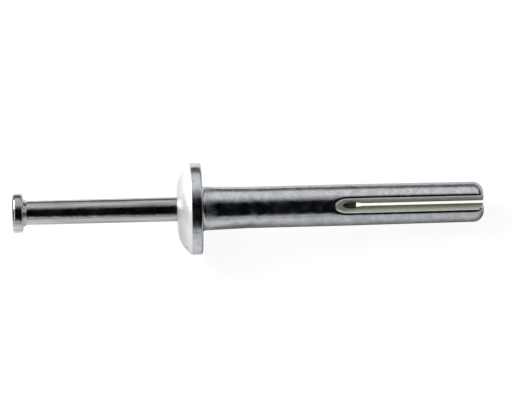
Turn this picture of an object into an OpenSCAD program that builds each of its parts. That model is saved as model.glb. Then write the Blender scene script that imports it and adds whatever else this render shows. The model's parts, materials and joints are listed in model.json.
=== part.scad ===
// Hammer drive anchor for a 6 mm hole, 40 mm under the head.
// The body is one zinc die casting: a low mushroom head, a round shank, and two
// legs parted by a lengthwise slot. A plated steel nail stands part of its way
// down the bore, and driving it home forces the legs apart.
// Millimetres. The origin is the middle of the head's underside. The pair lies
// on its side, on the head's rim and the tip, with the tip towards +X.

/* [Head] */
// Diameter of the mushroom head
head_d = 13; // [11:0.5:16]
// Height of the head, from its underside to the top of the dome
head_h = 3.5; // [2.8:0.05:4.2]
// Height of the straight rim under the dome
rim_h = 1.6; // [1.2:0.1:2]
// Diameter of the flat middle of the dome
dome_flat_d = 5.2; // [4.8:0.1:6.5]
// Radius that eases the edge between dome and rim
rim_front_r = 0.25; // [0.15:0.05:0.35]
// Radius that eases the edge between rim and underside
rim_back_r = 0.35; // [0.2:0.05:0.45]

/* [Shank] */
// Length of the shank, from the head's underside to the tip
shank_l = 40; // [36:1:60]
// Diameter of the shank, which enters the drilled hole
shank_d = 5.9; // [5.7:0.1:6]
// Diameter of the collar where the shank leaves the head
collar_d = 6.2; // [6:0.1:6.8]
// Length over which the collar runs down to the shank's diameter
collar_l = 6.5; // [3:0.5:9]
// Radius of the fillet between collar and head
collar_fillet_r = 0.55; // [0.2:0.05:0.8]
// Diameter at the tip, after the draft of the legs
tip_d = 5.7; // [5.4:0.1:5.7]
// Radius that rounds the tip
tip_round_r = 1.45; // [0.8:0.05:1.6]

/* [Slot] */
// Distance from the head's underside to the start of the slot in the surface
slot_start = 18.7; // [16:0.1:22]
// Width of the slot in the surface of the shank
slot_mouth = 1.9; // [1.6:0.1:2.6]
// Width of the clear gap between the legs at the middle
slot_gap = 0.35; // [0.35:0.05:0.8]
// How far the round end of the slot leans towards the head, in degrees
slot_lean = 22; // [5:1:40]
// How many times as long as wide that round end is
slot_end_long = 1.5; // [1:0.1:1.8]
// How far the slot is turned from upright as the anchor lies, in degrees
slot_turn = 33; // [0:1:90]

/* [Bore] */
// Width of the lead-in chamfer where the bore opens in the dome
bore_lead_in = 0.15; // [0.1:0.05:0.3]
// Length of full bore past the start of the slot, before the bore narrows
bore_past_slot = 0.9; // [0:0.1:2]
// Length over which the bore narrows to its blunt end, between the legs
bore_taper_l = 3.2; // [2.5:0.1:5]
// Diameter of that blunt end, which lies within the gap between the legs
bore_end_d = 0.3; // [0.2:0.05:0.3]

/* [Nail] */
// Diameter of the nail's shank
nail_d = 3.46; // [3.2:0.02:3.6]
// Radial clearance between the nail and its bore
nail_fit = 0.03; // [0.01:0.01:0.08]
// Distance that the nail stands short of the stop where its point meets the bore
nail_short = 0.4; // [0.2:0.1:3]
// How far the point passes the tip of the anchor once the nail is driven home
nail_past_tip = 3.7; // [0:0.1:5]
// Length of the nail's point
nail_point_l = 4.3; // [3:0.1:5]
// Diameter of the blunt end of the point
nail_blunt_d = 0.8; // [0.6:0.1:1.4]
// Diameter of the nail's head
nail_head_d = 5.6; // [4.8:0.1:6.4]
// Thickness of the nail's head
nail_head_h = 1.55; // [1.2:0.05:2]
// Radius that rounds both edges of the nail's head
nail_head_round_r = 0.45; // [0.2:0.05:0.45]
// Diameter, at the nail's head, of the small cone that forms under it
nail_neck_d = 4.2; // [3.8:0.1:4.6]
// Height of that cone
nail_neck_h = 0.5; // [0.2:0.1:1]

/* [Hidden] */
$fn = 96;
overcut = 1;

head_r = head_d / 2;
shank_r = shank_d / 2;
collar_r = collar_d / 2;
tip_r = tip_d / 2;
nail_r = nail_d / 2;
nail_head_r = nail_head_d / 2;
bore_r = nail_r + nail_fit;
nail_blunt_r = nail_blunt_d / 2;
bore_end_r = bore_end_d / 2;

// The dome is one arc. It leaves the flat middle without a step and meets the
// rim at the rim's own height, where the small front radius eases the edge.
dome_flat_r = dome_flat_d / 2;
dome_rise = head_h - rim_h;
dome_reach = head_r - dome_flat_r;
dome_r = (pow(dome_rise, 2) + pow(dome_reach, 2)) / (2 * dome_rise);
dome_centre = [dome_flat_r, dome_r - head_h];
front_step = [dome_reach - rim_front_r, -sqrt(pow(dome_r - rim_front_r, 2) - pow(dome_reach - rim_front_r, 2))];
front_angle = atan2(front_step[1], front_step[0]);

// The legs have draft from the start of the slot to the round of the tip.
tip_round_z = shank_l - tip_round_r;

// Each half of the slot is a wedge with leaning walls and a leaning round end,
// as a die leaves it. Walls and end meet in one apex line, past the middle.
// The end is a cone, stretched towards the head, whose sides run into the walls.
mouth_depth = sqrt(pow(shank_r, 2) - pow(slot_mouth / 2, 2));
wall_slope = (slot_mouth - slot_gap) / 2 / mouth_depth;
apex_depth = slot_gap / 2 / wall_slope;
end_slope = wall_slope * cos(slot_lean) / sqrt(1 + pow(slot_end_long * wall_slope * sin(slot_lean), 2));
end_swing = atan(slot_end_long * end_slope);
apex_z = slot_start + (shank_r + apex_depth) * tan(slot_lean + end_swing);
wedge_h = shank_r + apex_depth + overcut;

// The bore keeps its full size a little past the start of the slot.
taper_z = slot_start + bore_past_slot;
taper_slope = (bore_r - bore_end_r) / bore_taper_l;

// Pushed in by hand, the nail stops where the blunt end or the shoulder of its
// point meets the narrowing bore. It stands a little short of that.
nail_l = head_h + shank_l + nail_past_tip;
blunt_stop_z = taper_z + (bore_r - nail_blunt_r) / taper_slope;
shoulder_stop_z = taper_z + nail_point_l;
nail_tip_z = min(blunt_stop_z, shoulder_stop_z) - nail_short;
nail_head_z = nail_tip_z - nail_l;

// At rest the ground touches the round edge of the rim and the round tip.
rest_run = tip_round_z + rim_back_r;
rest_drop = (head_r - rim_back_r) - (tip_r - tip_round_r);
rest_span = sqrt(pow(rest_run, 2) + pow(rest_drop, 2));
rest_tilt = atan2(rest_drop, rest_run) - asin((tip_round_r - rim_back_r) / rest_span);

// Lays down a piece that is drawn along +Z with its tip at the top.
module laid() {
    rotate([0, 90 + rest_tilt, 0]) children();
}

// What lies outside a circle between two directions from its centre. Taken off
// a profile, it rounds the corner that it covers.
module corner(centre, r, from, to) {
    reach = 4 * r;
    translate(centre) difference() {
        polygon([[0, 0], reach * [cos(from), sin(from)], reach * [cos(to), sin(to)]]);
        circle(r);
    }
}

// Half section of the mushroom head.
module head_profile() {
    difference() {
        intersection() {
            translate([0, -head_h]) square([head_r, head_h]);
            union() {
                translate([0, -head_h]) square([dome_flat_r, head_h]);
                translate(dome_centre) circle(dome_r);
            }
        }
        corner(dome_centre + front_step, rim_front_r, front_angle, 0);
        corner([head_r - rim_back_r, -rim_back_r], rim_back_r, 0, 90);
    }
}

// Half section of the shank: collar, parallel length, drafted legs, round tip.
module shank_profile() {
    difference() {
        polygon([
            [0, -overcut],
            [collar_r, -overcut],
            [collar_r, 0],
            [shank_r, collar_l],
            [shank_r, slot_start],
            [tip_r, tip_round_z],
            [tip_r, shank_l],
            [0, shank_l]
        ]);
        corner([tip_r - tip_round_r, tip_round_z], tip_round_r, 0, 90);
    }
    difference() {
        translate([collar_r - overcut, -overcut]) square(overcut + collar_fillet_r);
        translate([collar_r + collar_fillet_r, collar_fillet_r]) circle(collar_fillet_r);
    }
}

// The bore: a lead-in, its full size past the start of the slot, then a taper
// to a blunt end between the legs, where only the slot goes on to the tip.
module bore() {
    rotate_extrude()
        polygon([
            [0, -head_h - overcut],
            [bore_r + bore_lead_in + overcut, -head_h - overcut],
            [bore_r, -head_h + bore_lead_in],
            [bore_r, taper_z],
            [bore_end_r, taper_z + bore_taper_l],
            [0, taper_z + bore_taper_l]
        ]);
}

// One half of the slot, opening towards +X: the space that a leaning cone takes
// up as it moves from the slot's start out past the tip.
module slot_half() {
    cone_h = wedge_h * cos(end_swing) / cos(slot_lean + end_swing);
    run_out = wedge_h * tan(slot_lean + end_swing);
    hull() {
        for (z = [apex_z, shank_l + run_out])
            translate([-apex_depth, 0, z])
                rotate([0, 90 + slot_lean, 0])
                    scale([slot_end_long, 1, 1])
                        cylinder(h = cone_h, r1 = 0, r2 = cone_h * end_slope, $fn = 48);
    }
}

module slot() {
    rotate([0, 0, slot_turn]) {
        slot_half();
        mirror([1, 0, 0]) slot_half();
    }
}

module anchor_body() {
    color("gainsboro") laid() difference() {
        rotate_extrude() {
            head_profile();
            shank_profile();
        }
        bore();
        slot();
    }
}

// Half section of the nail: upset head, small cone, shank and blunt point.
module nail_profile() {
    difference() {
        translate([0, nail_head_z - nail_head_h]) square([nail_head_r, nail_head_h]);
        corner([nail_head_r - nail_head_round_r, nail_head_z - nail_head_h + nail_head_round_r],
            nail_head_round_r, -90, 0);
        corner([nail_head_r - nail_head_round_r, nail_head_z - nail_head_round_r],
            nail_head_round_r, 0, 90);
    }
    polygon([
        [0, nail_head_z - nail_head_h / 2],
        [nail_neck_d / 2, nail_head_z - nail_head_h / 2],
        [nail_neck_d / 2, nail_head_z],
        [nail_r, nail_head_z + nail_neck_h],
        [nail_r, nail_tip_z - nail_point_l],
        [nail_blunt_r, nail_tip_z],
        [0, nail_tip_z]
    ]);
}

module drive_nail() {
    color("silver") laid() rotate_extrude() nail_profile();
}

anchor_body();
drive_nail();
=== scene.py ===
import json
import math

import bmesh
import bpy
import numpy as np
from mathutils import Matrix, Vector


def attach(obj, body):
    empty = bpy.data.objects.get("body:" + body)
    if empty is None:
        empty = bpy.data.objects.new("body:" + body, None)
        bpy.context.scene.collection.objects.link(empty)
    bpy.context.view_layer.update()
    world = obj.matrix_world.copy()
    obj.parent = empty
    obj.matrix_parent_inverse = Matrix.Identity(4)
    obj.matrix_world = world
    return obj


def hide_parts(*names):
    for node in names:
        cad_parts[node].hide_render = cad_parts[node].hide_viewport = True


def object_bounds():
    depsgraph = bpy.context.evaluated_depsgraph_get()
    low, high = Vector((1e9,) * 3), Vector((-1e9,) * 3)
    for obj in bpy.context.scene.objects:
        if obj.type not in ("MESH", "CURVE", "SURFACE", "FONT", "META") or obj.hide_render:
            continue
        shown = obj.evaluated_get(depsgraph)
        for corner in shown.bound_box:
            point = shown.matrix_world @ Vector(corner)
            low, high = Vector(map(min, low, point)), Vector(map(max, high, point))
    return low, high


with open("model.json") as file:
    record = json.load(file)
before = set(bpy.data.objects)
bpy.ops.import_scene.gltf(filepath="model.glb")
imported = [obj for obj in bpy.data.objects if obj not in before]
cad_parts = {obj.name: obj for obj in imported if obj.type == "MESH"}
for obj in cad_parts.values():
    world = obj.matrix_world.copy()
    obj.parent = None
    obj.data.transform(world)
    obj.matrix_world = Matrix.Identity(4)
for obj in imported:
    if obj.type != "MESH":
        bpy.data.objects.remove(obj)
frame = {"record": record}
cad_low, cad_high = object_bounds()


# ---------------------------------------------------------------------------
# The anchor body. One zinc alloy die casting: a low mushroom head, a round
# shank with a slight collar, and two legs parted by a slot that the die's two
# halves leave as leaning wedges. Tumbled smooth, then zinc plated bright.
# ---------------------------------------------------------------------------

# Sizes in mm. a is counted along the axis, from the head's underside to the
# tip, and r out from the axis.
HEAD_R, HEAD_H, RIM_H, DOME_FLAT_R = 6.5, 3.5, 1.6, 2.6
RIM_FRONT_R, RIM_BACK_R = 0.25, 0.35
SHANK_L, SHANK_R = 40.0, 2.95
COLLAR_R, COLLAR_L, COLLAR_FILLET_R = 3.1, 6.5, 0.55
TIP_R, TIP_ROUND_R = 2.85, 1.45
SLOT_START, SLOT_MOUTH, SLOT_GAP, SLOT_END_LONG = 18.7, 1.9, 0.35, 1.5
SLOT_LEAN, SLOT_TURN = math.radians(22), math.radians(33)
BORE_R, BORE_LEAD_IN = 1.76, 0.15
TAPER_START, TAPER_L, BORE_END_R = 19.6, 3.2, 0.15
LIP_EASE = 0.46  # how far the tumbling has rounded the slot's lip
FOOT_EASE = 0.08  # and the edge where the slot's wall meets the bore
MM = 0.001

# The anchor's own directions as it lies: along to the tip, across the slot and
# out of the slot.
along = np.array(next(m for m in frame["record"]["mounts"] if m["name"] == "shank")["axis"])
along /= np.linalg.norm(along)
side_up = np.array([-along[2], 0.0, along[0]])
level = np.array([0.0, 1.0, 0.0])
out_of_slot = math.cos(SLOT_TURN) * side_up - math.sin(SLOT_TURN) * level
across = math.sin(SLOT_TURN) * side_up + math.cos(SLOT_TURN) * level


def arc(centre, radius, start, end, count):
    """Points on a circle round centre = (a, r): a + radius sin(angle) and
    r + radius cos(angle), for count equal steps of the angle in degrees."""
    angle = np.radians(np.linspace(start, end, count + 1))
    return np.stack([centre[0] + radius * np.sin(angle), centre[1] + radius * np.cos(angle)], 1)


def stretch(start, end, count, margin=0.03):
    """Points on the straight line from start to end: (1 - share) start + share
    end, for count equal steps of the share. One more point a small margin
    inside each end keeps the shading of the curves beside it off the flat."""
    length = math.dist(start, end)
    share = np.linspace(0, 1, count + 1)
    share = np.sort(np.concatenate([share, [margin / length, 1 - margin / length]]))
    return np.outer(1 - share, start) + np.outer(share, end)


def join(*parts):
    """The parts of a profile end to end, with each shared end point kept once."""
    points = np.concatenate(parts)
    apart = np.linalg.norm(np.diff(points, axis=0), axis=1) > 1e-7
    return points[np.concatenate([[True], apart])]


def turned(profile, angles):
    """A profile of (a, r) carried round the axis: each point is a along,
    r sin(angle) across and r cos(angle) out of the slot."""
    a, r = profile[:, :1], profile[:, 1:]
    return np.stack([a + 0 * angles, r * np.sin(angles), r * np.cos(angles)], -1)


def grid_faces(rows, columns, first=0):
    """One quad for each four neighbours of a grid whose points are numbered row
    by row from first."""
    index = first + np.arange(rows * columns).reshape(rows, columns)
    return np.stack([index[:-1, :-1], index[:-1, 1:], index[1:, 1:], index[1:, :-1]], -1).reshape(-1, 4)


def mesh_object(name, grids, in_slot=None, merge=2e-7):
    """One object from grids of points in mm: along, across and out times the
    anchor's own directions. The grids are welded where they meet, and turned
    outwards. in_slot gives each point a share from 0, outside, to 1, on the
    walls of the slot and the bore."""
    verts, faces, first = [], [], 0
    for grid in grids:
        verts.append(grid.reshape(-1, 3))
        faces.append(grid_faces(*grid.shape[:2], first))
        first += len(verts[-1])
    points = np.concatenate(verts) @ np.stack([along, across, out_of_slot]) * MM
    mesh = bpy.data.meshes.new(name)
    mesh.from_pydata(points, [], np.concatenate(faces).tolist())
    if in_slot:
        share = mesh.attributes.new("in_slot", "FLOAT", "POINT")
        share.data.foreach_set("value", np.concatenate([s.ravel() for s in in_slot]).astype(np.float32))
    solid = bmesh.new()
    solid.from_mesh(mesh)
    bmesh.ops.remove_doubles(solid, verts=solid.verts, dist=merge)
    bmesh.ops.dissolve_degenerate(solid, edges=solid.edges, dist=merge)
    bmesh.ops.recalc_face_normals(solid, faces=solid.faces)
    solid.to_mesh(mesh)
    solid.free()
    mesh.shade_smooth()
    mesh.set_sharp_from_angle(angle=math.radians(38))
    piece = bpy.data.objects.new(name, mesh)
    bpy.context.scene.collection.objects.link(piece)
    return piece


# Half section of the outside, from the bore's mouth over the dome, round the
# rim, across the underside and down the collar, to a ring short of the slot.
RING_A, BORE_RING_A = 14.0, 17.0
dome_rise, dome_reach = HEAD_H - RIM_H, HEAD_R - DOME_FLAT_R
dome_r = (dome_rise ** 2 + dome_reach ** 2) / (2 * dome_rise)
dome_centre = (dome_r - HEAD_H, DOME_FLAT_R)
front_out = dome_reach - RIM_FRONT_R
front_back = math.sqrt((dome_r - RIM_FRONT_R) ** 2 - front_out ** 2)
front_centre = (dome_centre[0] - front_back, DOME_FLAT_R + front_out)
front_angle = -math.degrees(math.atan2(front_back, front_out))
outside = join(
    stretch((-HEAD_H, BORE_R + BORE_LEAD_IN), (-HEAD_H, DOME_FLAT_R), 3),
    arc(dome_centre, dome_r, -90, front_angle, 44),
    arc(front_centre, RIM_FRONT_R, front_angle, 0, 8),
    stretch((front_centre[0], HEAD_R), (-RIM_BACK_R, HEAD_R), 3),
    arc((-RIM_BACK_R, HEAD_R - RIM_BACK_R), RIM_BACK_R, 0, 90, 12),
    stretch((0, HEAD_R - RIM_BACK_R), (0, COLLAR_R + COLLAR_FILLET_R), 8),
    arc((COLLAR_FILLET_R, COLLAR_R + COLLAR_FILLET_R), COLLAR_FILLET_R, 270, 180, 10),
    stretch((COLLAR_FILLET_R, COLLAR_R), (COLLAR_L, SHANK_R), 10),
    stretch((COLLAR_L, SHANK_R), (RING_A, SHANK_R), 10),
)
# Half section of the bore, from its lead-in down to a ring short of the slot.
inside = join(
    stretch((-HEAD_H, BORE_R + BORE_LEAD_IN), (BORE_LEAD_IN - HEAD_H, BORE_R), 1),
    stretch((BORE_LEAD_IN - HEAD_H, BORE_R), (BORE_RING_A, BORE_R), 10),
)
RING_ROWS = 32  # rows of each quarter turn
quarter = np.radians(np.linspace(0, 90, RING_ROWS + 1))

# Half section of the legs, from the ring over the round tip to the gap between
# them.
tip_start = SHANK_L - TIP_ROUND_R
legs = join(
    np.array([[RING_A, SHANK_R], [SLOT_START, SHANK_R], [tip_start, TIP_R]]),
    arc((tip_start, TIP_R - TIP_ROUND_R), TIP_ROUND_R, 0, 90, 60),
    np.array([[SHANK_L, SLOT_GAP / 2]]),
)
legs_way = np.concatenate([[0], np.cumsum(np.linalg.norm(np.diff(legs, axis=0), axis=1))])


def on_legs(way, angle):
    """The point on the legs' outside that lies that way along their half
    section, turned by the angle from the middle of the slot."""
    a, r = np.interp(way, legs_way, legs[:, 0]), np.interp(way, legs_way, legs[:, 1])
    return np.stack([a, r * np.sin(angle), r * np.cos(angle)], -1)


def leg_radius(a):
    """The legs' radius short of the round tip: even, then with its draft."""
    return np.interp(a, [RING_A, SLOT_START, tip_start], [SHANK_R, SHANK_R, TIP_R])


def bore_radius(a):
    """Full bore to the taper, then narrowing evenly to its blunt end; past that,
    half the gap between the legs."""
    bore = np.interp(a, [TAPER_START, TAPER_START + TAPER_L], [BORE_R, BORE_END_R])
    return np.maximum(bore, SLOT_GAP / 2)


def in_bore(a, angle):
    """The point on the bore's wall at that distance along, turned by the angle
    from the middle of the slot."""
    r = bore_radius(a)
    return np.stack([a + 0 * angle, r * np.sin(angle), r * np.cos(angle)], -1)


# The slot's wall: a cone that leans towards the head closes its end, and from
# the lines where they touch, two planes run on to the tip. wall_slope is how
# far each wall moves out across for each mm that it rises from the apex line.
mouth_depth = math.sqrt(SHANK_R ** 2 - (SLOT_MOUTH / 2) ** 2)
wall_slope = (SLOT_MOUTH - SLOT_GAP) / 2 / mouth_depth
apex_depth = SLOT_GAP / 2 / wall_slope
end_slope = wall_slope * math.cos(SLOT_LEAN) / math.sqrt(
    1 + (SLOT_END_LONG * wall_slope * math.sin(SLOT_LEAN)) ** 2)
apex_a = SLOT_START + (SHANK_R + apex_depth) * math.tan(SLOT_LEAN + math.atan(SLOT_END_LONG * end_slope))
apex = np.array([apex_a, 0, -apex_depth])
cone_axis = np.array([-math.sin(SLOT_LEAN), 0, math.cos(SLOT_LEAN)])
cone_back = np.array([-math.cos(SLOT_LEAN), 0, -math.sin(SLOT_LEAN)])
touch_turn = math.acos(SLOT_END_LONG * end_slope * math.tan(SLOT_LEAN))


def cone_line(turn):
    """Direction of the line on the stretched cone at that turn round its axis,
    from the side next to the head: axis + slope (long cos(turn) back +
    sin(turn) sideways), made one long."""
    sideways = np.array([0, 1, 0])
    swing = SLOT_END_LONG * np.cos(turn)[:, None] * cone_back + np.sin(turn)[:, None] * sideways
    line = cone_axis + end_slope * swing
    return line / np.linalg.norm(line, axis=1, keepdims=True)


def along_cone(turn, radius_at):
    """The point apex + way line where each cone line passes the surface whose
    radius is radius_at(a). The way is found by halving the span, 9 mm long at
    most, in which the line crosses the surface."""
    line = cone_line(turn)
    near, far = np.full(len(turn), apex_depth), np.full(len(turn), 9.0)
    for _ in range(50):
        middle = (near + far) / 2
        point = apex + middle[:, None] * line
        beyond = np.hypot(point[:, 1], point[:, 2]) > radius_at(point[:, 0])
        near, far = np.where(beyond, near, middle), np.where(beyond, middle, far)
    return apex + ((near + far) / 2)[:, None] * line


def on_wall(a, r):
    """The point of the slot's plane wall at that distance along and from the
    axis: across = gap / 2 + slope out, with across^2 + out^2 = r^2."""
    square, half = 1 + wall_slope ** 2, wall_slope * SLOT_GAP / 2
    out = (-half + np.sqrt(half ** 2 - square * (SLOT_GAP ** 2 / 4 - r ** 2))) / square
    return np.stack([a, SLOT_GAP / 2 + wall_slope * out, out], -1)


def way_of(point):
    """How far along the legs' half section a point of the drafted stretch lies."""
    return np.interp(point[:, 0], legs[:, 0], legs_way)


# Rows of the grid run from the slot's lip out over the leg, and inwards down
# the wall into the bore. They fan round the end of the slot: the first end on
# the ring short of it, and the rest on the parting line.
FAN_ROWS, SIDE_ROWS, ROUND_ROWS, FACE_ROWS = 37, 83, 25, 6
even_turns = np.linspace(0, touch_turn, 400)
even_lip = along_cone(even_turns, leg_radius)
lip_way = np.concatenate([[0], np.cumsum(np.linalg.norm(np.diff(even_lip, axis=0), axis=1))])
share = np.arange(RING_ROWS + FAN_ROWS + 1) / (RING_ROWS + FAN_ROWS)
turns = np.interp(share * lip_way[-1], lip_way, even_turns)
round_lip = along_cone(turns, leg_radius)
round_foot = along_cone(turns, bore_radius)

touch_way, end_way = way_of(round_lip[-1:])[0], legs_way[-1]
tip_way, face_way = np.interp([tip_start, SHANK_L - 1e-6], legs[:, 0], legs_way)
straight_way = np.concatenate([
    np.linspace(touch_way, tip_way, SIDE_ROWS + 1)[1:],
    np.linspace(tip_way, face_way, ROUND_ROWS + 1)[1:],
    np.linspace(face_way, end_way, FACE_ROWS + 1)[1:]])
run = (straight_way - touch_way) / (end_way - touch_way)
straight_lip = on_wall(
    np.interp(straight_way, legs_way, legs[:, 0]), np.interp(straight_way, legs_way, legs[:, 1]))
foot_a = round_foot[-1, 0] + (SHANK_L - round_foot[-1, 0]) * run
straight_foot = on_wall(foot_a, bore_radius(foot_a))

lip = np.concatenate([round_lip, straight_lip])
foot = np.concatenate([round_foot, straight_foot])
lip_ways = np.concatenate([way_of(round_lip), straight_way])
lip_angles = np.arctan2(lip[:, 1], lip[:, 2])
foot_angles = np.arctan2(foot[:, 1], foot[:, 2])

# The parting line, a quarter turn from the slot, takes the rows' far ends. The
# fan ends a little short, and the rows after it close up to the square.
OUTER_LAG, INNER_LAG = 1.0, 0.5
right = math.pi / 2
seam_way = np.concatenate([
    np.zeros(RING_ROWS + 1), np.linspace(0, touch_way - OUTER_LAG, FAN_ROWS + 1)[1:],
    straight_way - OUTER_LAG * (1 - run) ** 2])
seam_angle = np.concatenate([quarter, np.full(len(seam_way) - RING_ROWS - 1, right)])
foot_seam = np.concatenate([
    np.full(RING_ROWS + 1, BORE_RING_A),
    np.linspace(BORE_RING_A, round_foot[-1, 0] - INNER_LAG, FAN_ROWS + 1)[1:],
    foot_a - INNER_LAG * (1 - run) ** 2])

# Where the wall is low, the roundings at its top and foot take only a share.
wall_l = np.linalg.norm(lip - foot, axis=1)
ease = np.minimum(LIP_EASE, 0.3 * wall_l)
foot_ease = np.minimum(FOOT_EASE, 0.15 * wall_l)


def between(start, end, shares):
    """Rows of points from start to end: (1 - share) start + share end."""
    return start[:, None] * (1 - shares)[None, :] + end[:, None] * shares[None, :]


def eased_edge(start, corner, end, count):
    """A corner rounded from start to end: (1 - t)^2 start + 2 t (1 - t) corner +
    t^2 end, at count steps of t."""
    t = np.linspace(0, 1, count + 1)[None, 1:, None]
    return (1 - t) ** 2 * start[:, None] + 2 * t * (1 - t) * corner[:, None] + t ** 2 * end[:, None]


LIP_STEPS, WALL_STEPS, FOOT_STEPS = 6, 9, 3
leg_columns = np.linspace(0, 1, 25)
lip_r = np.hypot(lip[:, 1], lip[:, 2])
reach = np.hypot(seam_way - lip_ways, (seam_angle - lip_angles) * lip_r)
start_way = lip_ways + (seam_way - lip_ways) * ease / np.maximum(reach, 1e-9)
start_angle = lip_angles + (seam_angle - lip_angles) * ease / np.maximum(reach, 1e-9)
leg_skin = on_legs(between(seam_way, start_way, leg_columns), between(seam_angle, start_angle, leg_columns))

down = (foot - lip) / np.maximum(wall_l, 1e-9)[:, None]
wall_top, wall_end = lip + down * ease[:, None], foot - down * foot_ease[:, None]
foot_r = np.hypot(foot[:, 1], foot[:, 2])
foot_reach = np.hypot(foot_seam - foot[:, 0], (seam_angle - foot_angles) * foot_r)
step = foot_ease / np.maximum(foot_reach, 1e-9)
bore_start_a = foot[:, 0] + (foot_seam - foot[:, 0]) * step
bore_start_angle = foot_angles + (seam_angle - foot_angles) * step
bore_skin = in_bore(
    between(bore_start_a, foot_seam, leg_columns), between(bore_start_angle, seam_angle, leg_columns))
wall_shares = np.linspace(0, 1, WALL_STEPS + 1)[1:, None]
leg_grid = np.concatenate([
    leg_skin,
    eased_edge(leg_skin[:, -1], lip, wall_top, LIP_STEPS),
    wall_top[:, None] * (1 - wall_shares) + wall_end[:, None] * wall_shares,
    eased_edge(wall_end, foot, bore_skin[:, 0], FOOT_STEPS),
    bore_skin[:, 1:],
], axis=1)

# Across the lip's rounding the share rises late, most of it in the last two
# steps.
outer_grid, inner_grid = turned(outside, quarter), turned(inside, quarter)
lip_share = np.ones(leg_grid.shape[1])
lip_share[:len(leg_columns)] = 0
lip_share[len(leg_columns):len(leg_columns) + LIP_STEPS] = np.linspace(0, 1, LIP_STEPS + 1)[1:] ** 6
slot_shares = [
    np.zeros(outer_grid.shape[:2]), np.ones(inner_grid.shape[:2]),
    np.broadcast_to(lip_share, leg_grid.shape[:2])]

# The other three quarters mirror the first.
quarters, quarter_shares = [], []
for flip_across, flip_out in ((1, 1), (1, -1), (-1, 1), (-1, -1)):
    mirror = np.array([1, flip_across, flip_out])
    turn_over = slice(None, None, 1 if flip_across == flip_out else -1)
    for grid, grid_share in zip((outer_grid, inner_grid, leg_grid), slot_shares):
        quarters.append((np.where(np.abs(grid) < 1e-9, 0, grid) * mirror)[:, turn_over])
        quarter_shares.append(grid_share[:, turn_over])

casting = mesh_object("zinc_casting", quarters, quarter_shares)


def linear(sheet_colour):
    """A colour written as sRGB hex, turned to the linear values that shaders
    take: value / 12.92 where dark, else ((value + 0.055) / 1.055)^2.4."""
    parts = [int(sheet_colour[i:i + 2], 16) / 255 for i in (1, 3, 5)]
    return tuple(p / 12.92 if p <= 0.04045 else ((p + 0.055) / 1.055) ** 2.4 for p in parts) + (1.0,)


def add(tree, kind, settings=(), **links):
    """Adds one node. settings are its own properties and unlinked socket values;
    links name an input and the output socket it takes, with _2 for input 2."""
    node = tree.nodes.new(kind)
    for name, value in dict(settings).items():
        if hasattr(node, name):
            setattr(node, name, value)
        else:
            node.inputs[int(name) if name.isdigit() else name].default_value = value
    for name, source in links.items():
        number = name[0] == "_" and name[1:].isdigit()
        tree.links.new(source, node.inputs[int(name[1:]) if number else name.replace("_", " ")])
    return node


# Bright zinc plate over the casting: a bluish white metal, smooth enough for a
# clear edge in its reflections, mottled in tint by specks of 0.3 mm and clouds
# of 1.1 mm, with soft hollows of 2.1 mm. Scales are counts for each metre.
HOLLOWS, CLOUDS, GRAIN = 480.0, 900.0, 3300.0
HOLLOW_DEPTH, GRAIN_DEPTH = 0.05, 0.04
plate = bpy.data.materials.new("bright_zinc_plate_on_casting")
plate.use_nodes = True
tree = plate.node_tree
shader = tree.nodes["Principled BSDF"]
place = add(tree, "ShaderNodeTexCoord").outputs["Object"]
hollows = add(
    tree, "ShaderNodeTexNoise", {"Scale": HOLLOWS, "Detail": 2.5, "Roughness": 0.5}, Vector=place)
cloud = add(
    tree, "ShaderNodeTexNoise", {"Scale": CLOUDS, "Detail": 4.0, "Roughness": 0.6}, Vector=place)
grain = add(
    tree, "ShaderNodeTexNoise", {"Scale": GRAIN, "Detail": 3.0, "Roughness": 0.65}, Vector=place)
speck = add(tree, "ShaderNodeMapRange", {"From Min": 0.35, "From Max": 0.65}, Value=grain.outputs["Fac"])
mottle = add(
    tree, "ShaderNodeMapRange", {"From Min": 0.35, "From Max": 0.65, "To Min": -0.1, "To Max": 0.6},
    Value=cloud.outputs["Fac"])
mottled = add(
    tree, "ShaderNodeMath", {"operation": "MULTIPLY_ADD", "1": 0.5},
    _0=speck.outputs[0], _2=mottle.outputs[0])
outer_tint = add(
    tree, "ShaderNodeMix", {"data_type": "RGBA", "6": linear("#bcc0c5"), "7": linear("#e3e6ea")},
    _0=mottled.outputs[0])
gloss = add(
    tree, "ShaderNodeMapRange", {"From Min": 0.38, "From Max": 0.66, "To Min": 0.12, "To Max": 0.22},
    Value=cloud.outputs["Fac"])
soft = add(
    tree, "ShaderNodeBump", {"Strength": 1.0, "Distance": HOLLOW_DEPTH * MM}, Height=hollows.outputs["Fac"])

# Where the tumbling rubs least, the plate is satin: on the dome, whiter, and
# in the corner under the head. Across the dome a painted gradient of light and
# shade runs from darker near its middle, by the nail, to brightest towards its
# edge. Each mask runs from its first bound to its second, in mm along the
# axis, which the Mapping node lays level.
DOME_MASK, DOME_PAINTED_LIGHT = (-1.42, -1.6), (-3.2, -2.1)
NEAR_HEAD, PAST_FILLET = (2.2, 0.4), (0.3, 0.6)
SATIN_ROUGHNESS = 0.45
dip = math.atan2(-along[2], along[0])
lengthwise = add(
    tree, "ShaderNodeMapping", {"vector_type": "TEXTURE", "Rotation": (0, dip, 0)}, Vector=place)
way = add(tree, "ShaderNodeSeparateXYZ", {}, Vector=lengthwise.outputs[0]).outputs["X"]
dome, near_head, past_fillet = [
    add(tree, "ShaderNodeMapRange", {"From Min": start * MM, "From Max": end * MM}, Value=way)
    for start, end in (DOME_MASK, NEAR_HEAD, PAST_FILLET)]
corner = add(
    tree, "ShaderNodeMath", {"operation": "MULTIPLY"}, _0=near_head.outputs[0], _1=past_fillet.outputs[0])
unrubbed = add(
    tree, "ShaderNodeMath", {"operation": "MAXIMUM"}, _0=dome.outputs[0], _1=corner.outputs[0])
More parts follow.
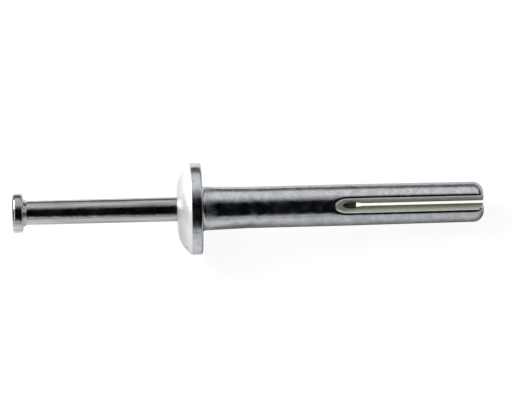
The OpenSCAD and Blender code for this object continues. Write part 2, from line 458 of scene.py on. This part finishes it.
# Painted light and shade: a share that rises from the dome's middle to its edge and lightens its tint.
painted_light_to_edge = add(
    tree, "ShaderNodeMapRange",
    {"From Min": DOME_PAINTED_LIGHT[0] * MM, "From Max": DOME_PAINTED_LIGHT[1] * MM, "To Min": 0.0, "To Max": 0.75},
    Value=way)
speck_and_painted_light = add(
    tree, "ShaderNodeMath", {"operation": "MULTIPLY_ADD", "1": 0.25},
    _0=speck.outputs[0], _2=painted_light_to_edge.outputs[0])
# The satin tint, with the painted light and shade across the dome mixed in.
satin_tint_and_painted_light = add(
    tree, "ShaderNodeMix", {"data_type": "RGBA", "6": linear("#d5d5d3"), "7": linear("#f6f6f4")},
    _0=speck_and_painted_light.outputs[0])
head_tint = add(
    tree, "ShaderNodeMix", {"data_type": "RGBA"},
    _0=dome.outputs[0], _6=outer_tint.outputs[2], _7=satin_tint_and_painted_light.outputs[2])
satin = add(
    tree, "ShaderNodeMix", {"data_type": "FLOAT", "3": SATIN_ROUGHNESS},
    _0=unrubbed.outputs[0], _2=gloss.outputs[0])

# The slot's lip is painted near white, a painted highlight along its rounded
# edge. Its walls keep the 0.3 mm grain of the die, and the plate reaches them
# thin and yellowish, so that they look matt and olive grey.
SLOT_ROUGHNESS, SLOT_METALLIC = 0.5, 0.2
in_slot = add(tree, "ShaderNodeAttribute", {"attribute_name": "in_slot"}).outputs["Fac"]
# Painted highlight: the inner part of the lip's rounding is painted near white.
painted_lip_highlight = add(tree, "ShaderNodeMapRange", {"From Min": 0.01, "From Max": 0.09}, Value=in_slot)
tint_with_painted_lip_highlight = add(
    tree, "ShaderNodeMix", {"data_type": "RGBA", "7": linear("#fafbfb")},
    _0=painted_lip_highlight.outputs[0], _6=head_tint.outputs[2])
slot_tint = add(
    tree, "ShaderNodeMix", {"data_type": "RGBA", "6": linear("#c9ccb9"), "7": linear("#e6e8db")},
    _0=grain.outputs["Fac"])
tint = add(
    tree, "ShaderNodeMix", {"data_type": "RGBA"},
    _0=in_slot, _6=tint_with_painted_lip_highlight.outputs[2], _7=slot_tint.outputs[2])
rough = add(
    tree, "ShaderNodeMix", {"data_type": "FLOAT", "3": SLOT_ROUGHNESS}, _0=in_slot, _2=satin.outputs[0])
tree.links.new(rough.outputs[0], shader.inputs["Roughness"])
bare = add(tree, "ShaderNodeMapRange", {"To Min": 1.0, "To Max": SLOT_METALLIC}, Value=in_slot)
tree.links.new(bare.outputs[0], shader.inputs["Metallic"])
grain_depth = add(tree, "ShaderNodeMapRange", {"To Min": 0.1, "To Max": 1.0}, Value=in_slot)
die_grain = add(
    tree, "ShaderNodeBump", {"Distance": GRAIN_DEPTH * MM},
    Strength=grain_depth.outputs[0], Height=grain.outputs["Fac"], Normal=soft.outputs[0])

# A nick in the edge of the dome: a dent, painted dark grey as the shade in it.
NICK_A, NICK_R, NICK_TURN = -2.28, 5.85, math.radians(-100)
NICK_INNER, NICK_OUTER, NICK_DEPTH = 0.1, 0.34, 0.2
nick_out = math.cos(NICK_TURN) * side_up + math.sin(NICK_TURN) * level
from_nick = add(
    tree, "ShaderNodeVectorMath",
    {"operation": "DISTANCE", "1": tuple(MM * (NICK_A * along + NICK_R * nick_out))}, _0=place)
whole = add(
    tree, "ShaderNodeMapRange",
    {"interpolation_type": "SMOOTHSTEP", "From Min": NICK_INNER * MM, "From Max": NICK_OUTER * MM},
    Value=from_nick.outputs["Value"])
# Painted shade: the middle of the nick is painted dark grey.
tint_with_painted_nick_shade = add(
    tree, "ShaderNodeMix", {"data_type": "RGBA", "6": linear("#5c5c5b")},
    _0=whole.outputs[0], _7=tint.outputs[2])
tree.links.new(tint_with_painted_nick_shade.outputs[2], shader.inputs["Base Color"])
dented = add(
    tree, "ShaderNodeBump", {"Strength": 1.0, "Distance": NICK_DEPTH * MM},
    Height=whole.outputs[0], Normal=die_grain.outputs[0])
tree.links.new(dented.outputs[0], shader.inputs["Normal"])
casting.data.materials.append(plate)
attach(casting, "root")
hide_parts("anchor_body")


# ---------------------------------------------------------------------------
# The drive nail. Drawn steel wire, cold headed with a flat round head and a
# small cone under it, pointed, and zinc plated. It is pushed into the bore by
# hand and stands there until a hammer drives it home.
# ---------------------------------------------------------------------------

NAIL_R, NAIL_L, NAIL_TIP, NAIL_POINT_L, NAIL_BLUNT_R = 1.73, 47.2, 21.9031, 4.3, 0.4
NAIL_HEAD_R, NAIL_HEAD_H, NAIL_HEAD_ROUND = 2.8, 1.55, 0.45
NAIL_NECK_R, NAIL_NECK_H = 2.1, 0.5
nail_head = NAIL_TIP - NAIL_L
nail_top = nail_head - NAIL_HEAD_H
flat_r = NAIL_HEAD_R - NAIL_HEAD_ROUND
point_start = NAIL_TIP - NAIL_POINT_L

nail_section = join(
    stretch((nail_top, 0), (nail_top, flat_r), 8),
    arc((nail_top + NAIL_HEAD_ROUND, flat_r), NAIL_HEAD_ROUND, -90, 0, 12),
    stretch((nail_top + NAIL_HEAD_ROUND, NAIL_HEAD_R), (nail_head - NAIL_HEAD_ROUND, NAIL_HEAD_R), 2),
    arc((nail_head - NAIL_HEAD_ROUND, flat_r), NAIL_HEAD_ROUND, 0, 90, 12),
    stretch((nail_head, flat_r), (nail_head, NAIL_NECK_R), 2),
    stretch((nail_head, NAIL_NECK_R), (nail_head + NAIL_NECK_H, NAIL_R), 2),
    stretch((nail_head + NAIL_NECK_H, NAIL_R), (point_start, NAIL_R), 40),
    stretch((point_start, NAIL_R), (NAIL_TIP, NAIL_BLUNT_R), 4),
    stretch((NAIL_TIP, NAIL_BLUNT_R), (NAIL_TIP, 0), 2),
)
nail = mesh_object("steel_nail", [turned(nail_section, np.linspace(0, 2 * math.pi, 129))])

# Zinc plate over drawn wire: bright, with faint lines along the draw, about
# 0.2 mm apart and 6 mm long, and soft hollows of 2 mm in the plate.
DRAW_LINES, DRAW_STRETCH, DRAW_DEPTH = 5000.0, 30.0, 0.003
NAIL_HOLLOWS, NAIL_HOLLOW_DEPTH, NAIL_CLOUDS = 500.0, 0.06, 700.0
wire = bpy.data.materials.new("zinc_plated_drawn_steel")
wire.use_nodes = True
tree = wire.node_tree
shader = tree.nodes["Principled BSDF"]
shader.inputs["Metallic"].default_value = 1.0
place = add(tree, "ShaderNodeTexCoord").outputs["Object"]
lengthwise = add(
    tree, "ShaderNodeMapping",
    {"vector_type": "TEXTURE", "Rotation": (0, dip, 0), "Scale": (DRAW_STRETCH, 1.0, 1.0)}, Vector=place)
lines = add(
    tree, "ShaderNodeTexNoise", {"Scale": DRAW_LINES, "Detail": 2.0}, Vector=lengthwise.outputs[0])
hollows = add(
    tree, "ShaderNodeTexNoise", {"Scale": NAIL_HOLLOWS, "Detail": 2.0, "Roughness": 0.5}, Vector=place)
cloud = add(tree, "ShaderNodeTexNoise", {"Scale": NAIL_CLOUDS, "Detail": 4.0}, Vector=place)
streak = add(tree, "ShaderNodeMapRange", {"From Min": 0.35, "From Max": 0.65}, Value=lines.outputs["Fac"])
tint = add(
    tree, "ShaderNodeMix", {"data_type": "RGBA", "6": linear("#a4a5a9"), "7": linear("#c7c8ca")},
    _0=streak.outputs[0])
tree.links.new(tint.outputs[2], shader.inputs["Base Color"])
gloss = add(
    tree, "ShaderNodeMapRange", {"From Min": 0.3, "From Max": 0.7, "To Min": 0.1, "To Max": 0.17},
    Value=cloud.outputs["Fac"])
tree.links.new(gloss.outputs[0], shader.inputs["Roughness"])
soft = add(
    tree, "ShaderNodeBump", {"Strength": 1.0, "Distance": NAIL_HOLLOW_DEPTH * MM},
    Height=hollows.outputs["Fac"])
drawn = add(
    tree, "ShaderNodeBump", {"Strength": 1.0, "Distance": DRAW_DEPTH * MM},
    Height=lines.outputs["Fac"], Normal=soft.outputs[0])
tree.links.new(drawn.outputs[0], shader.inputs["Normal"])
nail.data.materials.append(wire)
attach(nail, "root")
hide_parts("drive_nail")


# ---------------------------------------------------------------------------
# The studio. White paper, one soft light from the left and behind, and dark
# cloth that only reflections see, which gives the bare metal its dark bands.
# ---------------------------------------------------------------------------

scene = bpy.context.scene
scene.view_settings.view_transform = "Standard"
floor_z = cad_low[2]

# The paper: lit like any white sheet, so that the anchor lies over its own
# shadow. What the camera sees of it is lifted until the shadow is only faint,
# and the last of the lift comes with distance. In reflections the paper to the
# left, next to the light, glows a little.
PAPER_HALF = 4.0
paper = bpy.data.materials.new("white_paper")
paper.use_nodes = True
tree = paper.node_tree
tree.nodes.clear()
seen = add(tree, "ShaderNodeLightPath")
shown = add(
    tree, "ShaderNodeMath", {"operation": "MAXIMUM"},
    _0=seen.outputs["Is Camera Ray"], _1=seen.outputs["Is Transmission Ray"])
white = add(tree, "ShaderNodeMapRange", {"To Min": 0.8, "To Max": 0.15}, Value=shown.outputs[0])
where = add(tree, "ShaderNodeTexCoord").outputs["Object"]
far_off = add(tree, "ShaderNodeVectorMath", {"operation": "LENGTH"}, _0=where)
lifted = add(
    tree, "ShaderNodeMapRange", {"From Min": 0.05, "From Max": 0.16, "To Min": 0.925, "To Max": 1.0},
    Value=far_off.outputs["Value"])
lift = add(tree, "ShaderNodeMath", {"operation": "MULTIPLY"}, _0=shown.outputs[0], _1=lifted.outputs[0])
sideways = add(tree, "ShaderNodeSeparateXYZ", {}, Vector=where).outputs["X"]
leftward = add(
    tree, "ShaderNodeMapRange",
    {"interpolation_type": "SMOOTHSTEP",
     "From Min": 0.010, "From Max": -0.016, "To Min": 0.0, "To Max": 0.15}, Value=sideways)
mirrored = add(
    tree, "ShaderNodeMath", {"operation": "MULTIPLY_ADD"},
    _0=seen.outputs["Is Glossy Ray"], _1=leftward.outputs[0], _2=lift.outputs[0])
sheet = add(tree, "ShaderNodeBsdfDiffuse", {}, Color=white.outputs[0])
glow = add(tree, "ShaderNodeEmission", {"Color": (1, 1, 1, 1)}, Strength=mirrored.outputs[0])
both = add(tree, "ShaderNodeAddShader", {}, _0=sheet.outputs[0], _1=glow.outputs[0])
add(tree, "ShaderNodeOutputMaterial", {}, Surface=both.outputs[0])
corners = [(x, y, floor_z) for y in (-PAPER_HALF, PAPER_HALF) for x in (-PAPER_HALF, PAPER_HALF)]
floor_mesh = bpy.data.meshes.new("paper_floor")
floor_mesh.from_pydata(corners, [], [(0, 1, 3, 2)])
floor_mesh.materials.append(paper)
floor = bpy.data.objects.new("paper_floor", floor_mesh)
scene.collection.objects.link(floor)

# Dark cloth. The attribute cover says how much it hides of the room behind.
cloth = bpy.data.materials.new("dark_cloth")
cloth.use_nodes = True
tree = cloth.node_tree
tree.nodes.clear()
dark = add(tree, "ShaderNodeEmission", {"Color": linear("#080809"), "Strength": 1.0})
gone = add(tree, "ShaderNodeBsdfTransparent")
cover = add(tree, "ShaderNodeAttribute", {"attribute_name": "cover"})
faded = add(tree, "ShaderNodeMixShader", {}, _0=cover.outputs["Fac"], _1=gone.outputs[0], _2=dark.outputs[0])
add(tree, "ShaderNodeOutputMaterial", {}, Surface=faded.outputs[0])


def cloth_sheet(name, points, cover):
    """A sheet of the dark cloth through a grid of points in metres, with one
    value of cover for each point. Only reflections see it."""
    mesh = bpy.data.meshes.new(name)
    mesh.from_pydata(points.reshape(-1, 3), [], grid_faces(*cover.shape).tolist())
    attribute = mesh.attributes.new("cover", "FLOAT", "POINT")
    attribute.data.foreach_set("value", cover.ravel().astype(np.float32))
    mesh.materials.append(cloth)
    sheet = bpy.data.objects.new(name, mesh)
    scene.collection.objects.link(sheet)
    for ray in ("camera", "diffuse", "shadow", "transmission", "volume_scatter"):
        setattr(sheet, "visible_" + ray, False)
    return sheet


def hanging(name, x, far, lower, upper, fades, weight=1.0):
    """A sheet bent round the X axis that far away: y = -far cos(angle),
    z = far sin(angle), with the angle counted in degrees from the ground at the
    camera's side. At each x it spans the angles from lower to upper, thinning
    to nothing over the two fades at its edges. weight is its cover between."""
    share = np.linspace(0, 1, 61)[:, None]
    angle = (1 - share) * np.array(lower) + share * np.array(upper)
    cover = weight * np.clip((angle - lower) / fades[0], 0, 1) * np.clip((upper - angle) / fades[1], 0, 1)
    turn = np.radians(angle)
    points = np.stack([np.broadcast_to(x, turn.shape), -far * np.cos(turn), far * np.sin(turn)], -1)
    return cloth_sheet(name, points, cover)


def standing(name, x, y, height):
    """A flat card that stands on the paper at x, from y[0] to y[1], to that
    height. It thins to nothing over its upper third and a fifth at each side."""
    across_card, up_card = np.meshgrid(np.linspace(0, 1, 13), np.linspace(0, 1, 13))
    sides = np.clip(5 * across_card, 0, 1) * np.clip(5 * (1 - across_card), 0, 1)
    cover = np.clip(3 * (1 - up_card), 0, 1) * sides
    points = np.stack([
        np.full(cover.shape, x), y[0] + (y[1] - y[0]) * across_card, floor_z + height * up_card], -1)
    return cloth_sheet(name, points, cover)


# The front cloth's edges in degrees, at each x in metres. It hangs lower beside
# the shank than beside the nail. The back cloth hangs close to the anchor and
# hides less, and a card stands at each end.
FRONT_X = [-0.12, -0.012, 0.008, 0.022, 0.045, 0.07, 0.1, 1.5]
FRONT_LOWER = [4, 8, -9, -5, 0, -2, -10, -10]
FRONT_UPPER = [112, 112, 118, 120, 120, 120, 120, 120]
front_cloth = hanging("dark_cloth_front", FRONT_X, 0.5, FRONT_LOWER, FRONT_UPPER, (20, 34))
back_cloth = hanging("dark_cloth_back", [-0.35, 1.5], 0.07, [150, 150], [196, 196], (14, 6), 0.8)
left_card = standing("dark_card_left", -0.052, (-0.018, 0.026), 0.036)
right_card = standing("dark_card_right", 0.09, (-0.05, 0.05), 0.04)

# The room is white to the camera, a little darker in reflections, and gives
# surfaces a quarter of its light.
world = bpy.data.worlds.new("white_room")
scene.world = world
world.use_nodes = True
tree = world.node_tree
tree.nodes.clear()
seen = add(tree, "ShaderNodeLightPath")
reflected = add(
    tree, "ShaderNodeMath", {"operation": "MULTIPLY_ADD", "1": 0.7},
    _0=seen.outputs["Is Glossy Ray"], _2=seen.outputs["Is Camera Ray"])
shown = add(
    tree, "ShaderNodeMath", {"operation": "MAXIMUM"},
    _0=reflected.outputs[0], _1=seen.outputs["Is Transmission Ray"])
room = add(tree, "ShaderNodeMapRange", {"To Min": 0.25, "To Max": 1.0}, Value=shown.outputs[0])
air = add(tree, "ShaderNodeBackground", {"Color": (1, 1, 1, 1)}, Strength=room.outputs[0])
add(tree, "ShaderNodeOutputWorld", {}, Surface=air.outputs[0])

# A square soft light, which faces the shank. Its brightness is how bright its
# own face looks, where white paper is 1.
LIGHT_AT, LIGHT_AIM = np.array([-0.118, 0.065, 0.12]), np.array([0.006, 0, 0])
LIGHT_SIZE, LIGHT_BRIGHTNESS = 0.14, 6.9
lamp = bpy.data.lights.new("left_softbox", "AREA")
lamp.size = LIGHT_SIZE
lamp.energy = LIGHT_BRIGHTNESS * math.pi * LIGHT_SIZE ** 2
softbox = bpy.data.objects.new("left_softbox", lamp)
scene.collection.objects.link(softbox)
softbox.visible_camera = False
back = LIGHT_AT - LIGHT_AIM
back /= np.linalg.norm(back)
across_it = np.cross([0, 1, 0], back)
across_it /= np.linalg.norm(across_it)
stand = np.eye(4)
stand[:3, 0], stand[:3, 1], stand[:3, 2], stand[:3, 3] = across_it, np.cross(back, across_it), back, LIGHT_AT
softbox.matrix_world = stand.T

# The camera looks down on the anchor from 60 degrees, a little from the tip's
# side, with a long lens.
LENS_PX, MM_PX, PICTURE_PX, SENSOR = 5000.0, 0.1417, 512.0, 36.0
AIM_X, AIM_UP_PX = 0.00771, 4.68
lift_angle, swing_angle, roll = math.radians(60), math.radians(4.7), math.radians(-8.18)
toward = np.array([
    math.sin(swing_angle) * math.cos(lift_angle), -math.cos(swing_angle) * math.cos(lift_angle),
    math.sin(lift_angle)])
level_right = np.cross(-toward, [0, 0, 1])
level_right /= np.linalg.norm(level_right)
level_up = np.cross(toward, level_right)
view_right = math.cos(roll) * level_right + math.sin(roll) * level_up
view_up = -math.sin(roll) * level_right + math.cos(roll) * level_up
aim = np.array([AIM_X, 0, 0]) + view_up * AIM_UP_PX * MM_PX * MM
lens = bpy.data.cameras.new("camera")
lens.sensor_width = SENSOR
lens.lens = LENS_PX * SENSOR / PICTURE_PX
lens.clip_start, lens.clip_end = 0.01, 50.0
camera = bpy.data.objects.new("camera", lens)
scene.collection.objects.link(camera)
pose = np.eye(4)
pose[:3, 0], pose[:3, 1], pose[:3, 2] = view_right, view_up, toward
pose[:3, 3] = aim + toward * LENS_PX * MM_PX * MM
camera.matrix_world = pose.T
scene.camera = camera
